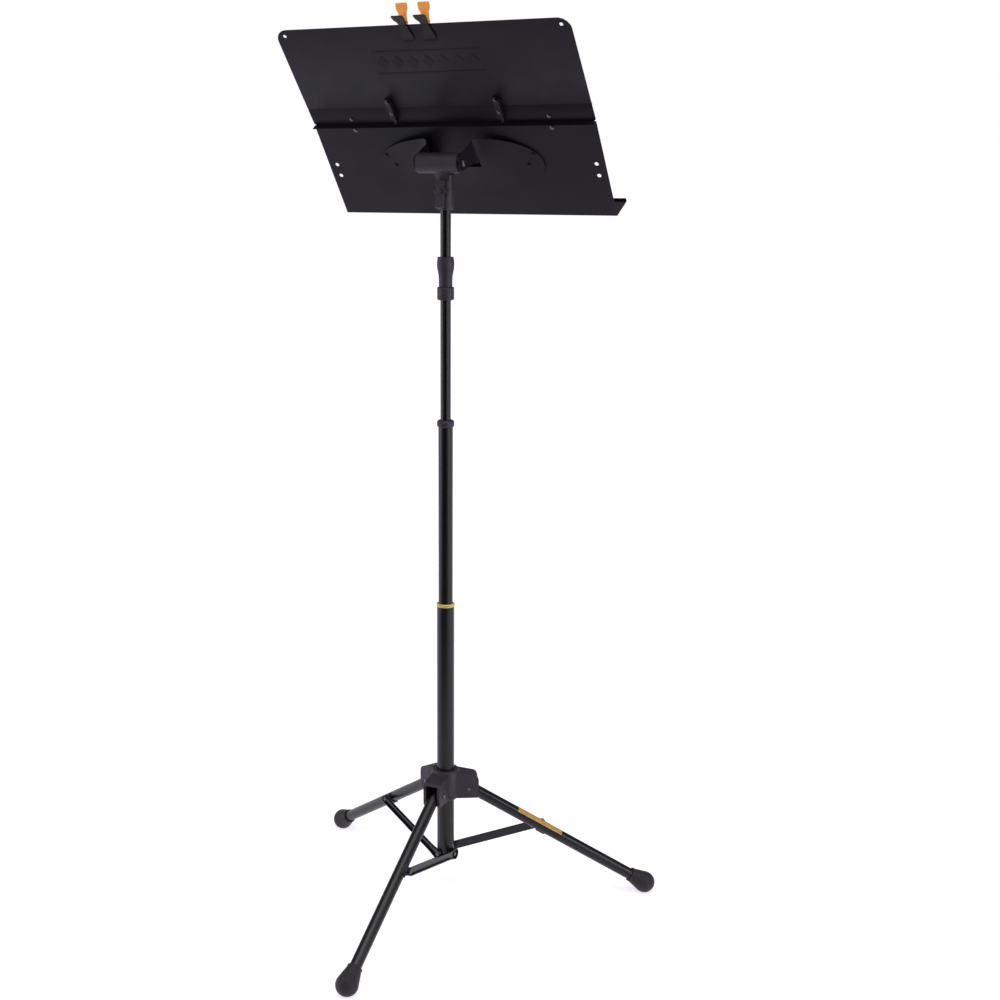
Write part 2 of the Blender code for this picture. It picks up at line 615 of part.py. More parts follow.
def build_tilt_fixings(desk_frame):
    """The bolt through the ears and the barrel, its nut and the two friction washers."""
    reach = EAR_OUTER + GAP
    shank = reach + NUT_HEIGHT + BOLT_PAST_NUT
    profile = [(0.0, -reach - 0.0045), (0.0040, -reach - 0.0045), (0.0058, -reach - 0.0028)]
    profile += [(0.0058, -reach), (BOLT_RADIUS, -reach), (BOLT_RADIUS, shank), (0.0, shank)]
    add_node("tilt_bolt", along(turned(profile, DETAIL_STEPS), "X"), desk_frame, STEEL)
    shape = tube(NUT_RADIUS, BOLT_RADIUS + GAP, reach, reach + NUT_HEIGHT, "X", 6)
    nut = add_node("tilt_nut", shape, desk_frame, STEEL)
    cut(nut, rod(BOLT_RADIUS + GAP, reach - 0.002, reach + NUT_HEIGHT + 0.002, "X"))
    for name, side in (("tilt_washer_left", 1), ("tilt_washer_right", -1)):
        near = side * (BARREL_HALF + GAP)
        far = side * (BARREL_HALF + GAP + WASHER_SHEET)
        shape = tube(0.0115, BOLT_RADIUS + GAP, min(near, far), max(near, far), "X")
        add_node(name, shape, desk_frame, STEEL)


def panel_holes(obj, places, radius, back, front):
    for across, up in places:
        for side in (-1, 1):
            cut(obj, moved(rod(radius, front - 0.002, back + 0.002, "Y", 12), x=side * across, z=up))


def build_lower_panel(desk_frame):
    """The lower half of the desk with the ledge, its lip and the stiffening flange at the fold."""
    back = -PANEL_FROM_TILT_AXIS
    foot = -TILT_AXIS_UP_PANEL
    bend = 0.0020
    top = foot + LOWER_PANEL_HEIGHT - GAP - SHEET
    lip = back - LEDGE_DEPTH
    half = DESK_WIDTH / 2
    wide = half + LEDGE_OVERHANG
    path = [(lip, foot + LIP_HEIGHT), (lip, foot + bend), (lip + 0.0006, foot + 0.0006)]
    path += [(lip + bend, foot), (back - bend, foot), (back - 0.0006, foot + 0.0006)]
    path += [(back, foot + bend), (back, top - bend), (back + 0.0006, top - 0.0006)]
    path += [(back + bend, top), (back + FLANGE_DEPTH, top)]
    widths = [wide] * 5 + [half] * 6
    sheet = folded_sheet(path, widths, SHEET)
    panel = add_node("lower_panel", sheet, desk_frame, BLACK_SHEET)
    front = back - SHEET
    hole_rows = [(half - 0.0145, foot + 0.0985), (half - 0.0145, foot + 0.0770)]
    panel_holes(panel, hole_rows, SIDE_HOLE_RADIUS, back, front)
    rivet = [(HINGE_FROM_CENTRE, foot + LOWER_PANEL_HEIGHT - 0.0104)]
    panel_holes(panel, rivet, 0.0016 + GAP, back, front)


def eased(share):
    share = min(max(share, 0.0), 1.0)
    return share * share * (3.0 - 2.0 * share)


def plate_rise(across, up):
    """How far the dished plate's inner face stands off the panel. It is flush at its lower edge
    and its two ends, and sweeps up in a fillet on both sides of each ear."""
    inward = (PLATE_HALF_WIDTH - abs(across)) / (PLATE_HALF_WIDTH - EAR_OUTER)
    upward = (up - PLATE_CENTRE_UP + PLATE_HALF_HEIGHT) / (2 * PLATE_HALF_HEIGHT)
    rise = GAP + PLATE_DISH * eased(inward) * eased(upward)
    beyond = max(abs(across) - EAR_OUTER, EAR_INNER - abs(across), 0.0)
    short = max(EAR_FILLET - beyond, 0.0)
    outside = max(EAR_ROOT_UP[0] - up, up - EAR_ROOT_UP[1], 0.0)
    sweep = EAR_FILLET - math.sqrt(EAR_FILLET**2 - short**2)
    return rise + sweep * eased(1.0 - outside / EAR_FILLET)


def dished_plate():
    """The oval plate as a closed shell, lying on the panel's back face."""
    ear = (EAR_INNER + EAR_OUTER) / 2
    near = [share * ear / 5 for share in range(4)]
    beside = [EAR_SHEET / 2] + [EAR_FILLET * share for share in (0.15, 0.3, 0.55, 0.9)]
    near += [ear - reach for reach in reversed(beside)] + [ear + reach for reach in beside]
    last = near[-1]
    end = PLATE_HALF_WIDTH * 0.998
    near += [last + (end - last) * math.sin(math.pi / 2 * share / 12) for share in range(1, 13)]
    columns = [-across for across in reversed(near[1:])] + near
    panel = -PANEL_FROM_TILT_AXIS
    foot = -TILT_AXIS_UP_PANEL
    rows = 16
    bm = bmesh.new()
    shell = []
    for across in columns:
        half = PLATE_HALF_HEIGHT * math.sqrt(1.0 - (across / PLATE_HALF_WIDTH) ** 2)
        faces = []
        for thickness in (0.0, PLATE_SHEET):
            line = []
            for row in range(rows + 1):
                up = PLATE_CENTRE_UP + half * (2.0 * row / rows - 1.0)
                depth = panel + plate_rise(across, up) + thickness
                line.append(bm.verts.new((across, depth, foot + up)))
            faces.append(line)
        shell.append(faces[0] + faces[1][::-1])
    count = len(shell[0])
    for column, following in zip(shell, shell[1:]):
        for index in range(count):
            after = (index + 1) % count
            bm.faces.new([column[index], column[after], following[after], following[index]])
    for column in (shell[0], shell[-1]):
        for row in range(rows):
            mirror = count - 1 - row
            bm.faces.new([column[row], column[row + 1], column[mirror - 1], column[mirror]])
    return bm


def build_mount_plate(desk_frame):
    """The oval plate riveted behind the lower panel, whose two ears hold the tilt barrel."""
    panel = -PANEL_FROM_TILT_AXIS
    foot = -TILT_AXIS_UP_PANEL
    plate = add_node("mount_plate", dished_plate(), desk_frame, BLACK_SHEET)
    notch_low = (-EAR_INNER, panel - 0.002, foot + NOTCH_BOTTOM_UP)
    cut(plate, box(notch_low, (EAR_INNER, panel + 0.050, foot + 0.200)))
    root = panel + EAR_ROOT_RISE
    for side in (-1, 1):
        ear = [(root, foot + EAR_ROOT_UP[0]), (0.0, -EAR_TIP_RADIUS)]
        ear += arc((0.0, 0.0), EAR_TIP_RADIUS, -75, 75, 8)
        ear += [(0.0, EAR_TIP_RADIUS), (root, foot + EAR_ROOT_UP[1])]
        near, far = sorted((side * EAR_INNER, side * EAR_OUTER))
        add_to(plate, prism(ear, near, far, "X"))
        for across, up in PLATE_RIVETS:
            seat = panel + plate_rise(across, up) + PLATE_SHEET
            head = headed_pin(0.0030, 0.0034, seat - 0.0008, seat + 0.0002, 0.0016, "Y")
            add_to(plate, moved(head, x=side * across, z=foot + up))
    cut(plate, rod(BOLT_RADIUS + GAP, -EAR_OUTER - 0.01, EAR_OUTER + 0.01, "X"))


def build_fold_leaf(frame, name, centre, part_sign, axis_gap):
    """One leaf of a fold hinge on the panel's front face, with its knuckle and its rivet. The
    leaf lies above the axis for the upper panel and below it for the lower one."""
    front = axis_gap - GAP
    spine = front - 0.0012
    near, far = sorted((part_sign * 0.0028, part_sign * 0.0180))
    plate = box((-HINGE_HALF_LENGTH, spine, near), (HINGE_HALF_LENGTH, front, far))
    obj = add_node(name, moved(plate, x=centre), frame, STEEL)
    start, end = sorted((part_sign * 0.0003, part_sign * HINGE_HALF_LENGTH))
    knuckle = rod(0.0016, start, end, "X", 12)
    add_to(obj, moved(knuckle, x=centre))
    low, high = sorted((0.0, part_sign * 0.0036))
    tail = box((start, 0.0004, low), (end, front, high))
    add_to(obj, moved(tail, x=centre))
    head_seat = axis_gap + SHEET + GAP
    rivet = headed_pin(0.0016, 0.0034, spine + 0.0004, head_seat, 0.0016, "Y")
    add_to(obj, moved(rivet, x=centre, z=part_sign * 0.0106))


def build_upper_panel(fold_frame):
    """The upper half of the desk. The fold axis is at the origin, just ahead of its front face."""
    front = FOLD_AXIS_FORWARD
    back = front + SHEET
    half = DESK_WIDTH / 2
    top = UPPER_PANEL_HEIGHT
    base = 2 * GAP
    radius = PANEL_CORNER_RADIUS
    small = 0.0050
    outline = arc((half - small, base + small), small, -90, 0, 4)
    outline += arc((half - radius, top - radius), radius, 0, 90, 8)
    outline += arc((radius - half, top - radius), radius, 90, 180, 8)
    outline += arc((small - half, base + small), small, 180, 270, 4)
    panel = add_node("upper_panel", prism(outline, front, back, "Y"), fold_frame, BLACK_SHEET)
    panel_holes(panel, [(half - 0.0145, top - 0.0110)], CORNER_HOLE_RADIUS, back, front)
    panel_holes(panel, [(HINGE_FROM_CENTRE, 0.0106)], 0.0016 + GAP, back, front)


def build_catch(fold_frame, name, side):
    """A swing catch behind the upper panel, turning on its upper rivet."""
    back = FOLD_AXIS_FORWARD + SHEET + GAP
    pivot_up = 0.0426
    place = (side * CATCH_FROM_CENTRE, back, pivot_up)
    frame = joint_frame(f"{name}_frame", place, fold_frame)
    half = CATCH_WIDTH / 2
    drop = CATCH_LENGTH - 2 * half
    outline = arc((0.0, 0.0), half, 0, 180, 8) + arc((0.0, -drop), half, 180, 360, 8)
    catch = add_node(name, prism(outline, 0.0, CATCH_SHEET, "Y"), frame, BLACK_SHEET)
    for up in (0.0, -0.0215):
        head = headed_pin(0.0030, 0.0034, CATCH_SHEET - 0.0005, CATCH_SHEET, 0.0016, "Y")
        add_to(catch, moved(head, z=up))


def build_clip(fold_frame, name, side):
    """A page clip on the desk's top edge: a back half, a spring coil and a hinged front half.
    Both halves are waisted at the coil and end in a paddle above it."""
    top = UPPER_PANEL_HEIGHT
    pivot_up = top + CLIP_COIL_RADIUS + 2 * GAP
    middle = FOLD_AXIS_FORWARD + SHEET / 2
    frame = joint_frame(f"{name}_frame", (side * CLIP_FROM_CENTRE, middle, pivot_up), fold_frame)
    half = CLIP_WIDTH / 2
    waist = CLIP_WAIST / 2
    face = SHEET / 2 + GAP
    bulge = CLIP_COIL_RADIUS + GAP + 0.0006
    jaw = top - CLIP_JAW - pivot_up
    shoulder = top - pivot_up - 0.0020
    grip = [(face + 0.0016, jaw - 0.0020, half * 0.92), (face, jaw + 0.0010, half)]
    grip += [(face, jaw * 0.62, half * 0.9), (face, jaw * 0.42, waist * 1.1), (face, shoulder, waist)]
    grip += [(bulge, -CLIP_COIL_RADIUS * 0.6, waist), (bulge, 0.0010, waist)]
    wing = [(bulge + 0.0016, 0.0060, waist * 1.2), (bulge + 0.0034, 0.0105, half * 0.96)]
    wing += [(bulge + 0.0062, 0.0175, half), (bulge + 0.0074, 0.0200, half * 0.9)]
    path = grip + wing
    edge = [(depth + CLIP_SHEET, up) for depth, up, _ in path]
    shape = folded_sheet(edge, [reach for _, _, reach in path], CLIP_SHEET)
    add_node(f"{name}_back", shape, frame, BLACK_PLASTIC)
    coil = rod(CLIP_COIL_RADIUS, 0.002 - waist, waist - 0.002, "X")
    add_node(f"{name}_coil", coil, frame, STEEL)
    front_frame = joint_frame(f"{name}_front_frame", (0.0, 0.0, 0.0), frame)
    wing = [(bulge + 0.0016, 0.0060, waist * 1.1), (bulge + 0.0036, 0.0120, waist * 1.15)]
    wing += [(bulge + 0.0052, 0.0155, half * 0.92), (bulge + 0.0080, 0.0225, half)]
    wing += [(bulge + 0.0092, 0.0252, half * 0.88)]
    path = grip + wing
    edge = [(-depth, up) for depth, up, _ in path]
    shape = folded_sheet(edge, [reach for _, _, reach in path], CLIP_SHEET)
    add_node(f"{name}_front", shape, front_frame, ORANGE_PLASTIC)


def build_desk(neck_frame):
    place = (0.0, TILT_AXIS_BACK, TILT_AXIS_HEIGHT - NECK_BOTTOM)
    desk_frame = joint_frame("desk_frame", place, neck_frame, (-DESK_TILT, 0.0, 0.0))
    build_tilt_fixings(desk_frame)
    build_lower_panel(desk_frame)
    build_mount_plate(desk_frame)
    fold_back = -PANEL_FROM_TILT_AXIS - SHEET - FOLD_AXIS_FORWARD
    fold_up = LOWER_PANEL_HEIGHT - TILT_AXIS_UP_PANEL
    hinge_frame = joint_frame("hinge_frame", (0.0, fold_back, fold_up), desk_frame)
    fold_frame = joint_frame("fold_frame", (0.0, 0.0, 0.0), hinge_frame, (-FOLD_BEND, 0.0, 0.0))
    build_upper_panel(fold_frame)
    for name, side in (("left", 1), ("right", -1)):
        centre = side * HINGE_FROM_CENTRE
        build_fold_leaf(hinge_frame, f"lower_leaf_{name}", centre, -1, FOLD_AXIS_FORWARD)
        build_fold_leaf(fold_frame, f"upper_leaf_{name}", centre, 1, FOLD_AXIS_FORWARD)
        build_catch(fold_frame, f"catch_{name}", side)
        build_clip(fold_frame, f"clip_{name}", side)


def main():
    clear_scene()
    stand = joint_frame("stand", (0.0, MAST_Y, 0.0))
    build_base(stand)
    hub_frame = build_hub(stand)
    for number, azimuth in enumerate(LEG_AZIMUTHS, 1):
        build_leg(hub_frame, number, azimuth)
        build_strut(stand, number, azimuth)
    middle_frame = build_middle(stand)
    upper_frame = build_upper(middle_frame)
    build_grip_lever(upper_frame, "grip_lever_left", GRIP_HEADING)
    build_grip_lever(upper_frame, "grip_lever_right", GRIP_HEADING + math.pi)
    build_desk(build_neck(upper_frame))


main()
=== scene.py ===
"""Looks of the music stand: a black folding tripod, a three-section mast and a sheet-metal desk
that folds in half. Lengths are in metres, and the reader stands on the -Y side."""

import json
import math

import bmesh
import bpy
from mathutils import Matrix, Vector


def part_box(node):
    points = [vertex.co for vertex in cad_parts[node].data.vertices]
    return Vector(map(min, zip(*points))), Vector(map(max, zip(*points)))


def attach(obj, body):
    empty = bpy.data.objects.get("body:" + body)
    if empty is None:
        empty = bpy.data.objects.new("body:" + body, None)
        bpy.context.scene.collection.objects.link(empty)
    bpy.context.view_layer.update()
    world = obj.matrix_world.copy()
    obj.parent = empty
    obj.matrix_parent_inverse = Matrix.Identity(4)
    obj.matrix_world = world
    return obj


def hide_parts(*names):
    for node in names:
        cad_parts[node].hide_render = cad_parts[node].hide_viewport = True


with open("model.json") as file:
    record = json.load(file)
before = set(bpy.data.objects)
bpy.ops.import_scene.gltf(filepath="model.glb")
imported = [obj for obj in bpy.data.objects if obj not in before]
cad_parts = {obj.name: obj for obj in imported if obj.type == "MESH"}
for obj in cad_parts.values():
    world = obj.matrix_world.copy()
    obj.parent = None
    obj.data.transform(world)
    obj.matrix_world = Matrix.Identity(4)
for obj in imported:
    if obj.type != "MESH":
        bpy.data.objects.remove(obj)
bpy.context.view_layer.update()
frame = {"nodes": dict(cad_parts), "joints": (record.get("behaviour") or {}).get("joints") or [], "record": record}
nodes = frame["nodes"]
joints = {joint["name"]: joint for joint in frame["joints"]}

MM = 0.001

# The desk, as the design states it
DESK_TILT = math.radians(36.6)
FOLD_BEND = math.radians(4.1)
DESK_HALF_WIDTH = 240 * MM
LEDGE_HALF_WIDTH = 244.5 * MM
SHEET = 1.0 * MM
PANEL_FROM_TILT_AXIS = 63.4 * MM
TILT_AXIS_UP_PANEL = 148.2 * MM
LOWER_PANEL_HEIGHT = 175.4 * MM
UPPER_PANEL_HEIGHT = 179.8 * MM
UPPER_PANEL_FRONT = 3.0 * MM
PRESS_ROUNDING = 0.32 * MM

# The lower panel's folds: a ledge with a lip at the bottom and a flange at the top
FLANGE_BELOW_FOLD = 0.3 * MM
FLANGE_DEPTH = 9 * MM
LEDGE_DEPTH = 38 * MM
LIP_HEIGHT = 6 * MM
PRESS_BEND = 2.2 * MM
PAST_BEND = 2.3 * MM
HOLE_FROM_EDGE = 14.5 * MM
SIDE_HOLES_UP = (98.5 * MM, 77.0 * MM)
SIDE_HOLE_RADIUS = 3.3 * MM

# The upper panel's outline, and the crease pressed across it
PANEL_FOOT = -0.25 * MM
TOP_CORNER_RADIUS = 20 * MM
FOOT_CORNER_RADIUS = 5 * MM
CORNER_HOLE_DOWN = 11 * MM
CORNER_HOLE_RADIUS = 2.8 * MM
CREASE_UP = 31 * MM
CREASE_HALF_WIDTH = 1.3 * MM
CREASE_HALF_FLAT = 0.2 * MM
CREASE_DEPTH = 0.9 * MM

# The pressed ornament
EMBLEM_UP = (92.6 * MM, 135.6 * MM)
EMBLEM_HALF_WIDTH = 90 * MM
EMBLEM_ROOT = 0.2 * MM
EMBLEM_RELIEF = 0.4 * MM
BEAD_RADIUS = 2 * MM
LOZENGES = 7
LOZENGE_PITCH = 25 * MM
LOZENGE_HALF_WIDTH = 10 * MM
LOZENGE_HALF_HEIGHT = 13 * MM

# The catches
CATCH_RADIUS = 6.5 * MM
CATCH_SPAN = 31 * MM
CATCH_SHEET = 1.6 * MM
CATCH_WALL = (0.8 * MM, 7.6 * MM)
CATCH_WALL_OUTER = 6.3 * MM
CATCH_WALL_INNER = 4.0 * MM
CATCH_RIVETS_UP = (0.5 * MM, -21.5 * MM)
CATCH_RIVET_ACROSS = 1.2 * MM

# The legs
LEG_AZIMUTHS = (90, 210, 330)
LEG_ANGLE = 0.548850
LEG_LENGTH = 0.359971
LEG_RADIUS = 9.6 * MM
FOOT_RADIUS = 18.0 * MM
BOOT_LENGTH = 30 * MM
BOOT_LIP_RADIUS = 12.4 * MM
BOOT_LIP_ROUNDING = 1.2 * MM
BOOT_LIP_LENGTH = 3.4 * MM
BOOT_LIP_PROUD = 0.5 * MM
BOOT_CLEARANCE = 0.3 * MM
LEG_END_CLEARANCE = 3.7 * MM
STRIPE_FROM_PIVOT = (96 * MM, 184 * MM)
STRIPE_ANGLES = (75, 150)
INK_HEIGHTS = (0.12 * MM, 0.02 * MM)

# The camera and the cloth behind it
MAST_TO_CAMERA = (-1.0259, 2.1359)
CAMERA_HEIGHT = 1.2187
CAMERA_DROP = math.radians(12.34)
CAMERA_LENS = 53.915
CAMERA_SHIFT = 0.05436
CLOTH_ACROSS = (-2.8, 1.4)
CLOTH_NEAR = 0.85
CLOTH_FAR = 3.1
CLOTH_TOP = 3.0
CLOTH_OFF_FLOOR = 4 * MM
FLOOR_REACH = 30


# Finishes


def linear(code):
    """An sRGB hex colour as linear red, green, blue and alpha."""
    channels = []
    for start in (0, 2, 4):
        value = int(code[start : start + 2], 16) / 255
        channels.append(value / 12.92 if value <= 0.04045 else ((value + 0.055) / 1.055) ** 2.4)
    return (*channels, 1.0)


def per_size(size_mm):
    """The texture scale that gives features of this size, in millimetres."""
    return 1.0 / (size_mm * MM)


def add_node(tree, kind, settings=None, links=None):
    """One shader node with its settings, and its links from other nodes' outputs."""
    node = tree.nodes.new(kind)
    for name, value in (settings or {}).items():
        if name in node.inputs:
            node.inputs[name].default_value = value
        else:
            setattr(node, name, value)
    for name, output in (links or {}).items():
        tree.links.new(output, node.inputs[name])
    return node


def start_finish(name, metallic, roughness, ior=None, coat=0.0, coat_roughness=0.3):
    """A new material, its shader, and the coordinates that its patterns run in."""
    material = bpy.data.materials.new(name)
    material.use_nodes = True
    tree = material.node_tree
    shader = tree.nodes["Principled BSDF"]
    shader.inputs["Metallic"].default_value = metallic
    shader.inputs["Roughness"].default_value = roughness
    if ior:
        shader.inputs["IOR"].default_value = ior
    shader.inputs["Coat Weight"].default_value = coat
    shader.inputs["Coat Roughness"].default_value = coat_roughness
    place = add_node(tree, "ShaderNodeTexCoord").outputs["Object"]
    return material, tree, shader, place


def blotched_colour(tree, shader, place, dark, light, size_mm, detail=3.0):
    """Base colour that drifts between two shades over patches of the given size."""
    noise = add_node(
        tree,
        "ShaderNodeTexNoise",
        {"Scale": per_size(size_mm), "Detail": detail, "Roughness": 0.55},
        {"Vector": place},
    )
    ramp = add_node(tree, "ShaderNodeValToRGB", links={"Fac": noise.outputs["Fac"]})
    ramp.color_ramp.elements[0].position = 0.36
    ramp.color_ramp.elements[0].color = linear(dark)
    ramp.color_ramp.elements[1].position = 0.66
    ramp.color_ramp.elements[1].color = linear(light)
    tree.links.new(ramp.outputs["Color"], shader.inputs["Base Color"])
    return ramp


def varied_roughness(tree, shader, place, low, high, size_mm):
    noise = add_node(
        tree,
        "ShaderNodeTexNoise",
        {"Scale": per_size(size_mm), "Detail": 4.0, "Roughness": 0.6},
        {"Vector": place},
    )
    spread = add_node(
        tree,
        "ShaderNodeMapRange",
        {"From Min": 0.3, "From Max": 0.7, "To Min": low, "To Max": high},
        {"Value": noise.outputs["Fac"]},
    )
    tree.links.new(spread.outputs["Result"], shader.inputs["Roughness"])


def bumped(tree, shader, height, depth_mm, strength=1.0):
    bump = add_node(
        tree,
        "ShaderNodeBump",
        {"Strength": strength, "Distance": depth_mm * MM},
        {"Height": height},
    )
    tree.links.new(bump.outputs["Normal"], shader.inputs["Normal"])


def powder_coated_steel():
    """Sheet steel, electrostatically powder coated in near-black and baked: a dense satin skin
    with a fine orange peel, a little cloudier where hands rub it."""
    material, tree, shader, place = start_finish("powder_coated_steel", 0.0, 0.46, ior=1.27)
    blotched_colour(tree, shader, place, "0d0911", "100b15", 70)
    varied_roughness(tree, shader, place, 0.42, 0.52, 45)
    # Orange peel is about 0.5 mm across, and drawn at 1.4 mm so that it shows at arm's length.
    peel = add_node(
        tree,
        "ShaderNodeTexNoise",
        {"Scale": per_size(1.4), "Detail": 2.0, "Roughness": 0.5},
        {"Vector": place},
    )
    bumped(tree, shader, peel.outputs["Fac"], 0.05, 0.7)
    return material


def enamelled_tube():
    """Drawn steel tube in black stoving enamel: smoother and glossier than the desk, with faint
    lengthwise rub marks."""
    material, tree, shader, place = start_finish("enamelled_tube", 0.0, 0.3, ior=1.4)
    blotched_colour(tree, shader, place, "050506", "070708", 40)
    stretch = add_node(
        tree, "ShaderNodeMapping", {"Scale": (1.0, 1.0, 0.03)}, {"Vector": place}
    )
    rub = add_node(
        tree,
        "ShaderNodeTexNoise",
        {"Scale": per_size(1.6), "Detail": 4.0, "Roughness": 0.65},
        {"Vector": stretch.outputs["Vector"]},
    )
    spread = add_node(
        tree,
        "ShaderNodeMapRange",
        {"From Min": 0.35, "From Max": 0.75, "To Min": 0.27, "To Max": 0.38},
        {"Value": rub.outputs["Fac"]},
    )
    tree.links.new(spread.outputs["Result"], shader.inputs["Roughness"])
    peel = add_node(
        tree,
        "ShaderNodeTexNoise",
        {"Scale": per_size(1.8), "Detail": 2.0, "Roughness": 0.5},
        {"Vector": place},
    )
    bumped(tree, shader, peel.outputs["Fac"], 0.03, 0.5)
    return material


def moulded_nylon():
    """Glass-filled nylon, injection moulded in a spark-eroded tool: a dry, even matte grain."""
    material, tree, shader, place = start_finish("moulded_nylon", 0.0, 0.55, ior=1.45)
    blotched_colour(tree, shader, place, "1a151f", "201a26", 18)
    varied_roughness(tree, shader, place, 0.48, 0.62, 12)
    grain = add_node(
        tree,
        "ShaderNodeTexVoronoi",
        {"Scale": per_size(0.9), "Randomness": 1.0},
        {"Vector": place},
    )
    bumped(tree, shader, grain.outputs["Distance"], 0.04, 0.6)
    return material


def black_acetal():
    """The clips' back halves: acetal coloured black through, with a fine tool grain. The catches'
    dark lacquer looks the same, so they wear it too."""
    material, tree, shader, place = start_finish("black_acetal", 0.0, 0.44, ior=1.32)
    blotched_colour(tree, shader, place, "070608", "0a090b", 12)
    varied_roughness(tree, shader, place, 0.4, 0.5, 8)
    skin = add_node(
        tree, "ShaderNodeTexNoise", {"Scale": per_size(0.8), "Detail": 2.0}, {"Vector": place}
    )
    bumped(tree, shader, skin.outputs["Fac"], 0.02, 0.5)
    return material


def moulded_rubber():
    """Black rubber, compression moulded: soft dull sheen, with dust worked into the skin."""
    material, tree, shader, place = start_finish("moulded_rubber", 0.0, 0.66, ior=1.4)
    blotched_colour(tree, shader, place, "131016", "18141b", 9, 5.0)
    varied_roughness(tree, shader, place, 0.56, 0.74, 15)
    shader.inputs["Sheen Weight"].default_value = 0.08
    shader.inputs["Sheen Roughness"].default_value = 0.5
    skin = add_node(
        tree,
        "ShaderNodeTexNoise",
        {"Scale": per_size(1.0), "Detail": 3.0, "Roughness": 0.6},
        {"Vector": place},
    )
    bumped(tree, shader, skin.outputs["Fac"], 0.06, 0.6)
    return material


def zinc_plated_steel():
    """Rivets and bolts: turned steel, zinc plated, with a cloudy grey bloom."""
    material, tree, shader, place = start_finish("zinc_plated_steel", 1.0, 0.36)
    blotched_colour(tree, shader, place, "4c4a51", "626068", 3, 4.0)
    varied_roughness(tree, shader, place, 0.3, 0.45, 2)
    turned_marks = add_node(
        tree,
        "ShaderNodeTexNoise",
        {"Scale": per_size(0.6), "Detail": 2.0},
        {"Vector": place},
    )
    bumped(tree, shader, turned_marks.outputs["Fac"], 0.02, 0.5)
    return material


def gold_acetal():
    """The mast's ring: acetal coloured through in old gold, turned smooth."""
    material, tree, shader, place = start_finish("gold_acetal", 0.0, 0.4, ior=1.48, coat=0.3)
    blotched_colour(tree, shader, place, "b4924c", "c0a058", 12)
    skin = add_node(
        tree, "ShaderNodeTexNoise", {"Scale": per_size(0.8), "Detail": 2.0}, {"Vector": place}
    )
    bumped(tree, shader, skin.outputs["Fac"], 0.02, 0.5)
    return material


def gold_print():
    """Screen-printed ink on the enamel: matt old gold, thin enough to break up at its edges."""
    material, tree, shader, place = start_finish("gold_print", 0.0, 0.5, ior=1.5)
    blotched_colour(tree, shader, place, "8f6d34", "b98f49", 2.2, 5.0)
    skin = add_node(
        tree, "ShaderNodeTexNoise", {"Scale": per_size(0.9), "Detail": 3.0}, {"Vector": place}
    )
    bumped(tree, shader, skin.outputs["Fac"], 0.02, 0.5)
    return material


def orange_nylon():
    """The clips' front halves: nylon coloured orange through, moulded with a satin skin."""
    material, tree, shader, place = start_finish("orange_nylon", 0.0, 0.42, ior=1.53, coat=0.1)
    blotched_colour(tree, shader, place, "f89a3e", "fca64a", 10)
    varied_roughness(tree, shader, place, 0.38, 0.5, 6)
    shader.inputs["Subsurface Weight"].default_value = 0.08
    shader.inputs["Subsurface Scale"].default_value = 1.5 * MM
    skin = add_node(
        tree, "ShaderNodeTexNoise", {"Scale": per_size(0.8), "Detail": 2.0}, {"Vector": place}
    )
    bumped(tree, shader, skin.outputs["Fac"], 0.03, 0.5)
    return material


def pale_floor():
    """Studio paper, lit from behind so that it stays white: dull, with a barely visible tooth."""
    material, tree, shader, place = start_finish("studio_paper", 0.0, 0.85, ior=1.45)
    blotched_colour(tree, shader, place, "a4a3a8", "acabb0", 900)
    tooth = add_node(
        tree, "ShaderNodeTexNoise", {"Scale": per_size(2.0), "Detail": 2.0}, {"Vector": place}
    )
    bumped(tree, shader, tooth.outputs["Fac"], 0.02, 0.3)
    # It glows more with distance, where the lamps above don't reach.
    shader.inputs["Emission Color"].default_value = linear("f8f5ff")
    away = add_node(tree, "ShaderNodeVectorMath", {"operation": "LENGTH"}, {"Vector": place})
    glow = add_node(
        tree,
        "ShaderNodeMapRange",
        {"From Min": 0.7, "From Max": 2.2, "To Min": 0.8, "To Max": 1.05},
        {"Value": away.outputs["Value"]},
    )
    tree.links.new(glow.outputs["Result"], shader.inputs["Emission Strength"])
    return material


def black_cloth():
    """Duvetyne, the brushed black cotton that studios hang to keep light out."""
    material, tree, shader, place = start_finish("black_cloth", 0.0, 1.0, ior=1.3)
    blotched_colour(tree, shader, place, "060606", "080808", 400)
    return material


POWDER_COAT = powder_coated_steel()
ENAMEL = enamelled_tube()
NYLON = moulded_nylon()
RUBBER = moulded_rubber()
ZINC = zinc_plated_steel()
GOLD_RING = gold_acetal()
GOLD_INK = gold_print()
ORANGE = orange_nylon()
ACETAL = black_acetal()

SLOT_FINISH = {
    "black_tube": ENAMEL,
    "black_sheet": POWDER_COAT,
    "black_plastic": NYLON,
    "black_rubber": RUBBER,
    "steel": ZINC,
    "gold_plastic": GOLD_RING,
    "orange_plastic": ORANGE,
}


# Making meshes


def fold_outline(points, radius, steps=5):
    """A path of (depth, height) points with its inner corners rounded."""
    path = [Vector(points[0])]
    for before, corner, after in zip(points, points[1:], points[2:]):
        corner = Vector(corner)
        arriving = (corner - Vector(before)).normalized()
        leaving = (Vector(after) - corner).normalized()
        turn = arriving.angle(leaving)
        if turn < math.radians(8):
            path.append(corner)
            continue
        reach = radius * math.tan(turn / 2)
        start = corner - arriving * reach
        end = corner + leaving * reach
        for step in range(steps + 1):
            share = step / steps
            first = start.lerp(corner, share)
            second = corner.lerp(end, share)
            path.append(first.lerp(second, share))
    path.append(Vector(points[-1]))
    return path


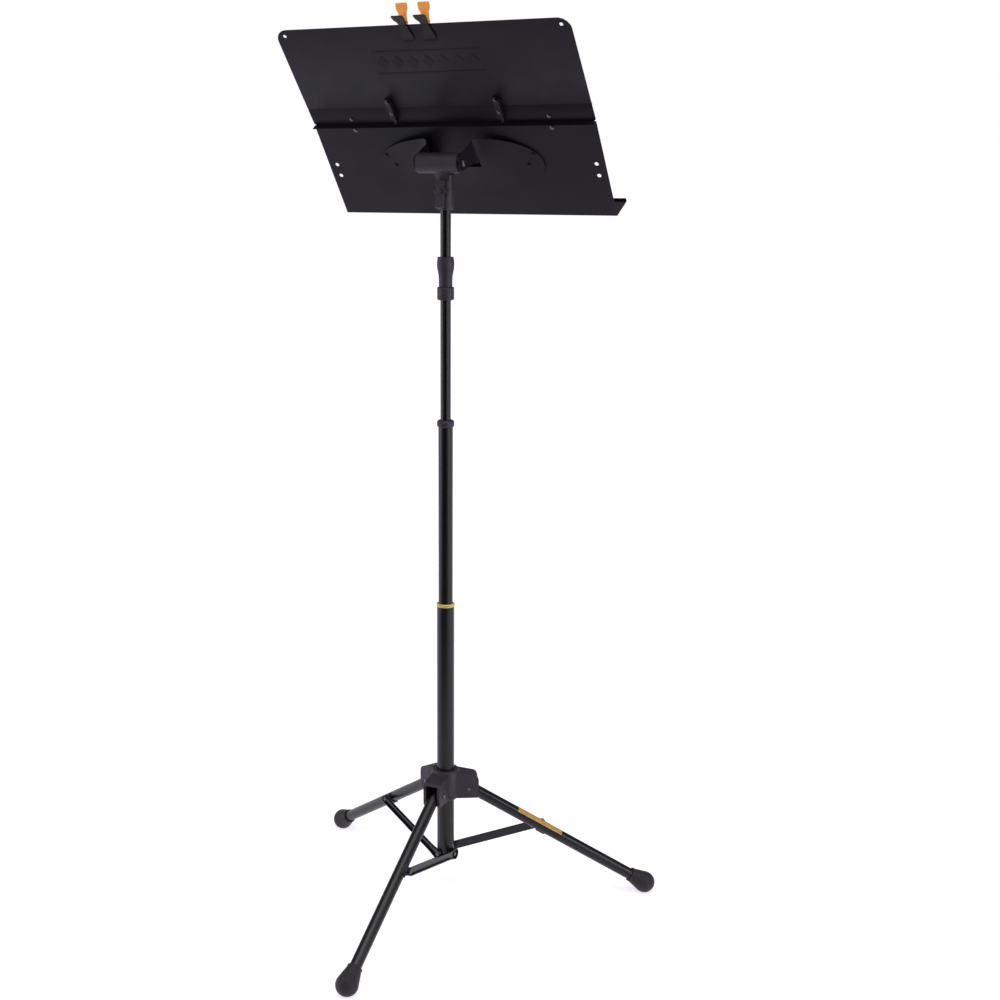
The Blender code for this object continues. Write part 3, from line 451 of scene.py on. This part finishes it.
def folded_sheet(path, half_widths, sheet):
    """A sheet bent along X, whose thickness goes to the left of the path's direction."""
    offsets = []
    for index, point in enumerate(path):
        before = path[max(index - 1, 0)]
        after = path[min(index + 1, len(path) - 1)]
        arriving = (point - before).normalized() if point != before else (after - point).normalized()
        leaving = (after - point).normalized() if point != after else arriving
        normal = Vector((-arriving.y - leaving.y, arriving.x + leaving.x)).normalized()
        square = Vector((-arriving.y, arriving.x))
        offsets.append(point + normal * (sheet / normal.dot(square)))
    bm = bmesh.new()
    rows = []
    for point, offset, half in zip(path, offsets, half_widths):
        corners = ((-half, point), (half, point), (half, offset), (-half, offset))
        rows.append([bm.verts.new((x, place.x, place.y)) for x, place in corners])
    for row, following in zip(rows, rows[1:]):
        for side in range(4):
            after = (side + 1) % 4
            bm.faces.new([row[side], row[after], following[after], following[side]])
    bm.faces.new(rows[0])
    bm.faces.new(rows[-1])
    return bm


def prism(outline, low, high, axis="Y"):
    """A flat outline pushed through from low to high along an axis."""
    order = {
        "X": lambda a, b, c: (c, a, b),
        "Y": lambda a, b, c: (a, c, b),
        "Z": lambda a, b, c: (a, b, c),
    }[axis]
    bm = bmesh.new()
    near = [bm.verts.new(order(a, b, low)) for a, b in outline]
    far = [bm.verts.new(order(a, b, high)) for a, b in outline]
    bm.faces.new(near)
    bm.faces.new(far)
    for index in range(len(outline)):
        after = (index + 1) % len(outline)
        bm.faces.new([near[index], near[after], far[after], far[index]])
    return bm


def turned(profile, steps=64):
    """A closed outline of (radius, height) points turned about Z."""
    bm = bmesh.new()
    rings = []
    for radius, height in profile:
        if radius < 1e-7:
            rings.append([bm.verts.new((0.0, 0.0, height))] * steps)
            continue
        ring = []
        for step in range(steps):
            angle = math.tau * step / steps
            ring.append(bm.verts.new((radius * math.cos(angle), radius * math.sin(angle), height)))
        rings.append(ring)
    for index, ring in enumerate(rings):
        following = rings[(index + 1) % len(rings)]
        for step in range(steps):
            after = (step + 1) % steps
            corners = [ring[step], ring[after], following[after], following[step]]
            unique = list(dict.fromkeys(corners))
            if len(unique) > 2:
                bm.faces.new(unique)
    return bm


def arc(centre, radius, start, end, steps=8):
    """Points along an arc, with angles in degrees."""
    points = []
    for step in range(steps + 1):
        angle = math.radians(start + (end - start) * step / steps)
        points.append((centre[0] + radius * math.cos(angle), centre[1] + radius * math.sin(angle)))
    return points


def moved(bm, x=0.0, y=0.0, z=0.0):
    bmesh.ops.translate(bm, vec=(x, y, z), verts=bm.verts)
    return bm


def turned_to(bm, degrees, axis):
    bmesh.ops.transform(bm, matrix=Matrix.Rotation(math.radians(degrees), 4, axis), verts=bm.verts)
    return bm


def plain_object(name, bm):
    bmesh.ops.recalc_face_normals(bm, faces=bm.faces)
    mesh = bpy.data.meshes.new(name)
    bm.to_mesh(mesh)
    bm.free()
    obj = bpy.data.objects.new(name, mesh)
    bpy.context.scene.collection.objects.link(obj)
    return obj


def merged(parts):
    """Several shapes as one mesh."""
    whole = bmesh.new()
    for part in parts:
        mesh = bpy.data.meshes.new("part")
        bmesh.ops.recalc_face_normals(part, faces=part.faces)
        part.to_mesh(mesh)
        part.free()
        whole.from_mesh(mesh)
        bpy.data.meshes.remove(mesh)
    return whole


def worked(obj, tools=(), operation="DIFFERENCE"):
    """Cuts the tools from an object, or joins them to it, for good."""
    for tool in tools:
        helper = plain_object("tool", tool)
        boolean = obj.modifiers.new("work", "BOOLEAN")
        boolean.operation = operation
        boolean.solver = "EXACT"
        boolean.object = helper
        graph = bpy.context.evaluated_depsgraph_get()
        mesh = bpy.data.meshes.new_from_object(obj.evaluated_get(graph))
        obj.modifiers.clear()
        old = obj.data
        obj.data = mesh
        bpy.data.meshes.remove(old)
        bpy.data.objects.remove(helper)
    return obj


def softened(obj, width, angle=35, segments=2, weld=False):
    """Rounds every edge sharper than the angle, as a press, a tumbler or a mould leaves it."""
    mesh = obj.data
    if "custom_normal" in mesh.attributes:
        mesh.attributes.remove(mesh.attributes["custom_normal"])
    mesh.shade_smooth()
    if weld:
        obj.modifiers.new("weld", "WELD").merge_threshold = 1e-6
    flat = obj.modifiers.new("flat", "DECIMATE")
    flat.decimate_type = "DISSOLVE"
    flat.angle_limit = math.radians(0.6)
    bevel = obj.modifiers.new("edges", "BEVEL")
    bevel.width = width
    bevel.segments = segments
    bevel.limit_method = "ANGLE"
    bevel.angle_limit = math.radians(angle)
    bevel.harden_normals = True
    return obj


def finished(obj, place, material, body, replaced=()):
    """Puts a piece in its place on its body, with its finish."""
    obj.data.transform(place)
    obj.data.materials.clear()
    obj.data.materials.append(material)
    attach(obj, body)
    if replaced:
        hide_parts(*replaced)
    return obj


# Frames that the pieces are made in


def joint_place(name, turn=Matrix.Identity(4)):
    return Matrix.Translation(joints[name]["pos_m"]) @ turn


desk_place = joint_place("desk_tilt", Matrix.Rotation(-DESK_TILT, 4, "X"))
fold_place = joint_place("desk_fold", Matrix.Rotation(-DESK_TILT - FOLD_BEND, 4, "X"))


def leg_place(number):
    heading = math.radians(LEG_AZIMUTHS[number - 1])
    turn = Matrix.Rotation(heading, 4, "Z") @ Matrix.Rotation(LEG_ANGLE, 4, "Y")
    return joint_place(f"leg_fold_{number}", turn)


# The desk


def hole(across, up, radius, depth_low, depth_high):
    bm = turned([(0.0, depth_low), (radius, depth_low), (radius, depth_high), (0.0, depth_high)], 24)
    return moved(turned_to(bm, -90, "X"), x=across, z=up)


def make_lower_panel():
    back = -PANEL_FROM_TILT_AXIS
    foot = -TILT_AXIS_UP_PANEL
    top = foot + LOWER_PANEL_HEIGHT - FLANGE_BELOW_FOLD - SHEET
    lip = back - LEDGE_DEPTH
    points = [(lip, foot + LIP_HEIGHT), (lip, foot), (back, foot), (back, top)]
    path = fold_outline(points, PRESS_BEND, 6) + [Vector((back + FLANGE_DEPTH, top))]
    halves = []
    for point in path:
        on_ledge = point.y < foot + PAST_BEND and point.x < back - PAST_BEND
        halves.append(LEDGE_HALF_WIDTH if on_ledge or point.x < lip + MM else DESK_HALF_WIDTH)
    panel = plain_object("desk_lower_panel", folded_sheet(path, halves, SHEET))
    tools = []
    for side in (-1, 1):
        for up in SIDE_HOLES_UP:
            across = side * (DESK_HALF_WIDTH - HOLE_FROM_EDGE)
            tools.append(hole(across, foot + up, SIDE_HOLE_RADIUS, back - 4 * MM, back + 3 * MM))
    worked(panel, [merged(tools)])
    softened(panel, PRESS_ROUNDING)
    finished(panel, desk_place, POWDER_COAT, "desk", ["lower_panel"])


def make_upper_panel():
    front = UPPER_PANEL_FRONT
    back = front + SHEET
    top = UPPER_PANEL_HEIGHT
    half = DESK_HALF_WIDTH
    run = [(back, PANEL_FOOT), (back, CREASE_UP - CREASE_HALF_WIDTH)]
    run += [(back - CREASE_DEPTH, CREASE_UP - CREASE_HALF_FLAT)]
    run += [(back - CREASE_DEPTH, CREASE_UP + CREASE_HALF_FLAT)]
    run += [(back, CREASE_UP + CREASE_HALF_WIDTH), (back, top)]
    path = [Vector(point) for point in run]
    panel = plain_object("desk_upper_panel", folded_sheet(path, [half] * len(path), SHEET))
    corner = TOP_CORNER_RADIUS
    small = FOOT_CORNER_RADIUS
    outline = arc((half - small, PANEL_FOOT + small), small, -90, 0, 6)
    outline += arc((half - corner, top - corner), corner, 0, 90, 18)
    outline += arc((corner - half, top - corner), corner, 90, 180, 18)
    outline += arc((small - half, PANEL_FOOT + small), small, 180, 270, 6)
    worked(panel, [prism(outline, front - 5 * MM, back + 5 * MM)], "INTERSECT")
    up = top - CORNER_HOLE_DOWN
    tools = []
    for side in (-1, 1):
        across = side * (half - HOLE_FROM_EDGE)
        tools.append(hole(across, up, CORNER_HOLE_RADIUS, front - 2 * MM, back + 2 * MM))
    worked(panel, [merged(tools)])
    softened(panel, PRESS_ROUNDING, angle=50)
    finished(panel, fold_place, POWDER_COAT, "desk_top", ["upper_panel"])


def bead(up):
    """A long bar's outline, across the panel, with round ends."""
    end = EMBLEM_HALF_WIDTH - BEAD_RADIUS
    return arc((end, up), BEAD_RADIUS, -90, 90, 6) + arc((-end, up), BEAD_RADIUS, 90, 270, 6)


def lozenge(across, up):
    wide = LOZENGE_HALF_WIDTH
    high = LOZENGE_HALF_HEIGHT
    return [(across - wide, up), (across, up - high), (across + wide, up), (across, up + high)]


def make_emblem():
    """A plain pressed ornament on the upper panel's back: two beads with lozenges between."""
    low, high = EMBLEM_UP
    seat = UPPER_PANEL_FRONT + SHEET
    shapes = [bead(low + BEAD_RADIUS), bead(high - BEAD_RADIUS)]
    for number in range(LOZENGES):
        across = (number - (LOZENGES - 1) / 2) * LOZENGE_PITCH
        shapes.append(lozenge(across, (low + high) / 2))
    parts = [prism(shape, seat - EMBLEM_ROOT, seat + EMBLEM_RELIEF) for shape in shapes]
    emblem = plain_object("desk_emblem", merged(parts))
    softened(emblem, 0.38 * MM, segments=3)
    finished(emblem, fold_place, POWDER_COAT, "desk_top")


def make_catch(name):
    """A pressed catch: a flat leaf with two rivets and a curled wall down one edge."""
    turn = Matrix.Rotation(-DESK_TILT - FOLD_BEND, 4, "X")
    place = joint_place(f"catch_{name}_swing", turn)
    head = (0.0, 0.0)
    foot = (0.0, -CATCH_SPAN)
    leaf = arc(head, CATCH_RADIUS, 0, 180, 12) + arc(foot, CATCH_RADIUS, 180, 360, 12)
    outer, inner = CATCH_WALL_OUTER, CATCH_WALL_INNER
    wall = arc(head, outer, 100, 180, 8) + arc(foot, outer, 180, 250, 8)
    wall += arc(foot, inner, 250, 180, 8) + arc(head, inner, 180, 100, 8)
    shapes = [prism(leaf, 0.0, CATCH_SHEET), prism(wall, *CATCH_WALL)]
    catch = plain_object(f"catch_{name}", merged(shapes))
    softened(catch, 0.4 * MM)
    finished(catch, place, ACETAL, f"catch_{name}", [f"catch_{name}"])
    heads = []
    for up in CATCH_RIVETS_UP:
        profile = [(0.0, 1.4 * MM), (3.2 * MM, 1.4 * MM), (3.2 * MM, 2.0 * MM)]
        profile += [(2.6 * MM, 2.8 * MM), (1.4 * MM, 3.2 * MM), (0.0, 3.3 * MM)]
        rivet = turned_to(turned(profile, 24), -90, "X")
        heads.append(moved(rivet, x=CATCH_RIVET_ACROSS, z=up))
    rivets = plain_object(f"catch_rivets_{name}", merged(heads))
    rivets.data.shade_smooth()
    finished(rivets, place, ZINC, f"catch_{name}")


# The tripod


def make_boot(number):
    """A rubber boot that swells from a rolled lip to a ball, worn flat where it stands."""
    top = LEG_LENGTH - BOOT_LENGTH
    bore = LEG_RADIUS + BOOT_CLEARANCE
    bottom = LEG_LENGTH - LEG_END_CLEARANCE
    roll = BOOT_LIP_ROUNDING
    sleeve = BOOT_LIP_RADIUS - BOOT_LIP_PROUD
    profile = [(bore, bottom), (bore, top)]
    for height, radius in arc((top + roll, BOOT_LIP_RADIUS - roll), roll, 180, 30, 6):
        profile.append((radius, height))
    profile.append((sleeve, top + BOOT_LIP_LENGTH))
    # The sleeve's line touches the ball, and the ball starts there.
    slope = math.atan2(sleeve, -BOOT_LENGTH)
    start = math.degrees(slope - math.acos(FOOT_RADIUS / math.hypot(sleeve, BOOT_LENGTH)))
    for down, across in arc((LEG_LENGTH, 0.0), FOOT_RADIUS, start, 0, 20):
        profile.append((across, down))
    profile.append((0.0, bottom))
    bm = turned_to(turned(profile, 72), 90, "Y")
    bmesh.ops.transform(bm, matrix=leg_place(number), verts=bm.verts)
    for vert in bm.verts:
        vert.co.z = max(vert.co.z, 0.0)
    boot = plain_object(f"boot_{number}", bm)
    boot.data.shade_smooth()
    boot.data.set_sharp_from_angle(angle=math.radians(40))
    cad_boot = f"foot_boot_{number}"
    finished(boot, Matrix.Identity(4), RUBBER, f"leg_{number}", [cad_boot])


def make_leg_stripe():
    """A plain printed stripe on one leg, towards its upper side."""
    start, end = STRIPE_FROM_PIVOT
    outer, inner = [LEG_RADIUS + height for height in INK_HEIGHTS]
    first, last = STRIPE_ANGLES
    rows = []
    bm = bmesh.new()
    steps = 10
    for step in range(steps + 1):
        angle = math.radians(first + (last - first) * step / steps)
        row = []
        for distance, reach in ((start, outer), (end, outer), (end, inner), (start, inner)):
            row.append(bm.verts.new((distance, reach * math.cos(angle), reach * math.sin(angle))))
        rows.append(row)
    for row, following in zip(rows, rows[1:]):
        for side in range(4):
            after = (side + 1) % 4
            bm.faces.new([row[side], row[after], following[after], following[side]])
    bm.faces.new(rows[0])
    bm.faces.new(rows[-1])
    stripe = plain_object("leg_stripe", bm)
    finished(stripe, leg_place(2), GOLD_INK, "leg_2")


def make_object():
    make_lower_panel()
    make_upper_panel()
    make_emblem()
    for name in ("left", "right"):
        make_catch(name)
    for number in (1, 2, 3):
        make_boot(number)
    make_leg_stripe()


# CAD nodes that stay, with their finishes and softened edges


def finish_nodes():
    slots = {part["node"]: part["material_slot"] for part in frame["record"]["subparts"]}
    edges = {
        "hub": 0.9 * MM,
        "neck": 0.6 * MM,
        "neck_lever": 0.5 * MM,
        "grip_block": 0.4 * MM,
        "grip_lever_left": 0.4 * MM,
        "grip_lever_right": 0.4 * MM,
        "mount_plate": 0.35 * MM,
    }
    for name, obj in nodes.items():
        finish = SLOT_FINISH[slots[name]]
        if name in ("clip_left_back", "clip_right_back"):
            finish = ACETAL
        obj.data.materials.clear()
        obj.data.materials.append(finish)
        if obj.hide_render:
            continue
        if name in edges:
            softened(obj, edges[name], weld=True)


# The studio


def mast_y():
    low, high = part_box("lower_tube")
    return (low.y + high.y) / 2


def make_studio():
    floor_mesh = bmesh.new()
    reach = FLOOR_REACH
    square = ((-reach, -reach), (reach, -reach), (reach, reach), (-reach, reach))
    floor_mesh.faces.new([floor_mesh.verts.new((x, y, 0.0)) for x, y in square])
    floor = plain_object("studio_floor", floor_mesh)
    floor.data.materials.append(pale_floor())
    # A black cloth lies and hangs behind the camera, so the tubes show a dark line between two lights.
    flag_mesh = bmesh.new()
    fall = ((CLOTH_NEAR, CLOTH_OFF_FLOOR), (CLOTH_FAR, CLOTH_OFF_FLOOR), (CLOTH_FAR, CLOTH_TOP))
    left, right = [[flag_mesh.verts.new((x, y, z)) for y, z in fall] for x in CLOTH_ACROSS]
    flag_mesh.faces.new((left[0], left[1], right[1], right[0]))
    flag_mesh.faces.new((left[1], left[2], right[2], right[1]))
    flag = plain_object("studio_flag", flag_mesh)
    flag.data.materials.append(black_cloth())

    def soft_box(name, place, aim, size, power):
        lamp = bpy.data.lights.new(name, "AREA")
        lamp.shape = "RECTANGLE"
        lamp.size, lamp.size_y = size
        lamp.energy = power
        obj = bpy.data.objects.new(name, lamp)
        obj.location = place
        obj.rotation_euler = (Vector(aim) - Vector(place)).to_track_quat("-Z", "Y").to_euler()
        bpy.context.scene.collection.objects.link(obj)

    soft_box("top_box", (-0.6, 0.6, 4.2), (0.0, 0.0, 0.4), (3.4, 3.4), 120)
    soft_box("back_box", (-0.9, 2.6, 3.4), (0.0, 0.0, 1.3), (1.4, 0.8), 34)
    soft_box("left_box", (2.8, 1.4, 1.4), (0.0, -0.1, 0.7), (0.7, 2.4), 34)
    soft_box("right_box", (-3.4, 0.2, 1.4), (0.0, -0.1, 0.7), (0.7, 2.4), 44)

    world = bpy.data.worlds.new("studio_air")
    world.use_nodes = True
    air = world.node_tree
    lighting = air.nodes["Background"]
    lighting.inputs["Color"].default_value = linear("f4f2fa")
    lighting.inputs["Strength"].default_value = 0.24
    backdrop = add_node(air, "ShaderNodeBackground", {"Color": linear("ffffff"), "Strength": 1.0})
    seen = add_node(air, "ShaderNodeLightPath").outputs["Is Camera Ray"]
    either = add_node(air, "ShaderNodeMixShader")
    air.links.new(seen, either.inputs[0])
    air.links.new(lighting.outputs["Background"], either.inputs[1])
    air.links.new(backdrop.outputs["Background"], either.inputs[2])
    air.links.new(either.outputs["Shader"], air.nodes["World Output"].inputs["Surface"])
    bpy.context.scene.world = world
    bpy.context.scene.view_settings.view_transform = "Standard"

    camera = bpy.data.cameras.new("camera")
    camera.sensor_width = 36.0
    camera.lens = CAMERA_LENS
    camera.shift_x = CAMERA_SHIFT
    obj = bpy.data.objects.new("camera", camera)
    mast = Vector((0.0, mast_y(), 0.0))
    obj.location = (MAST_TO_CAMERA[0], mast.y + MAST_TO_CAMERA[1], CAMERA_HEIGHT)
    level = (mast - Vector((obj.location.x, obj.location.y, 0.0))).normalized()
    drop = CAMERA_DROP
    look = Vector((level.x * math.cos(drop), level.y * math.cos(drop), -math.sin(drop)))
    obj.rotation_euler = look.to_track_quat("-Z", "Y").to_euler()
    bpy.context.scene.collection.objects.link(obj)
    bpy.context.scene.camera = obj


make_object()
finish_nodes()
make_studio()
